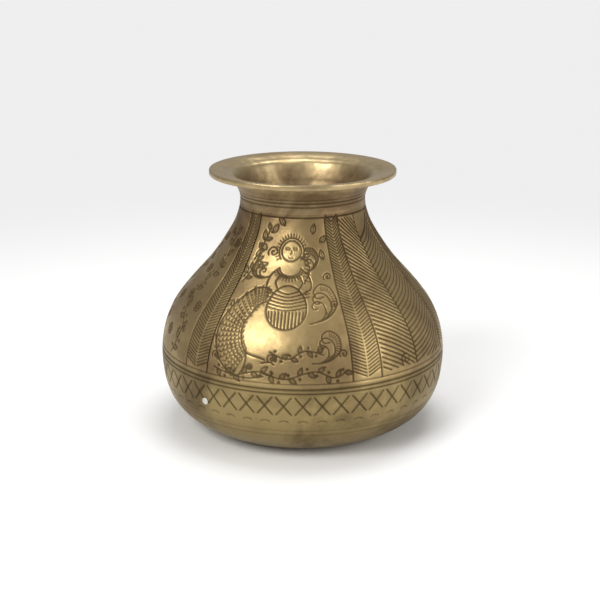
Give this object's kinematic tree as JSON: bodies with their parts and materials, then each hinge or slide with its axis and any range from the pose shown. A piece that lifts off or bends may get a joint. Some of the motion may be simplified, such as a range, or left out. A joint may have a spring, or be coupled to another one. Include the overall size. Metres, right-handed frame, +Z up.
{
  "type": "kalash",
  "caption": "Engraved brass kalash water pot with a flat foot, full belly, narrow throat and wide flared mouth with a thick lip.",
  "frame": {"origin": "centre of the flat foot, on the surface that the pot stands on", "axes": "+Z up along the pot's axis; the front figure panel faces -Y"},
  "size_m": [0.1596, 0.1596, 0.1446],
  "materials": {
    "aged_brass": "dark worn brass with a brown patina",
    "engraved_brass": "satin brass, chased all over",
    "polished_brass": "worn bright brass",
    "braze": "matt filler alloy",
    "solder": "dull grey tin solder"
  },
  "bodies": {
    "root": {"base_bowl": "aged_brass", "body_shoulder": "engraved_brass", "neck_collar": "polished_brass", "waist_braze": "braze", "neck_braze": "braze", "solder_dab": "solder"}
  },
  "joints": []
}
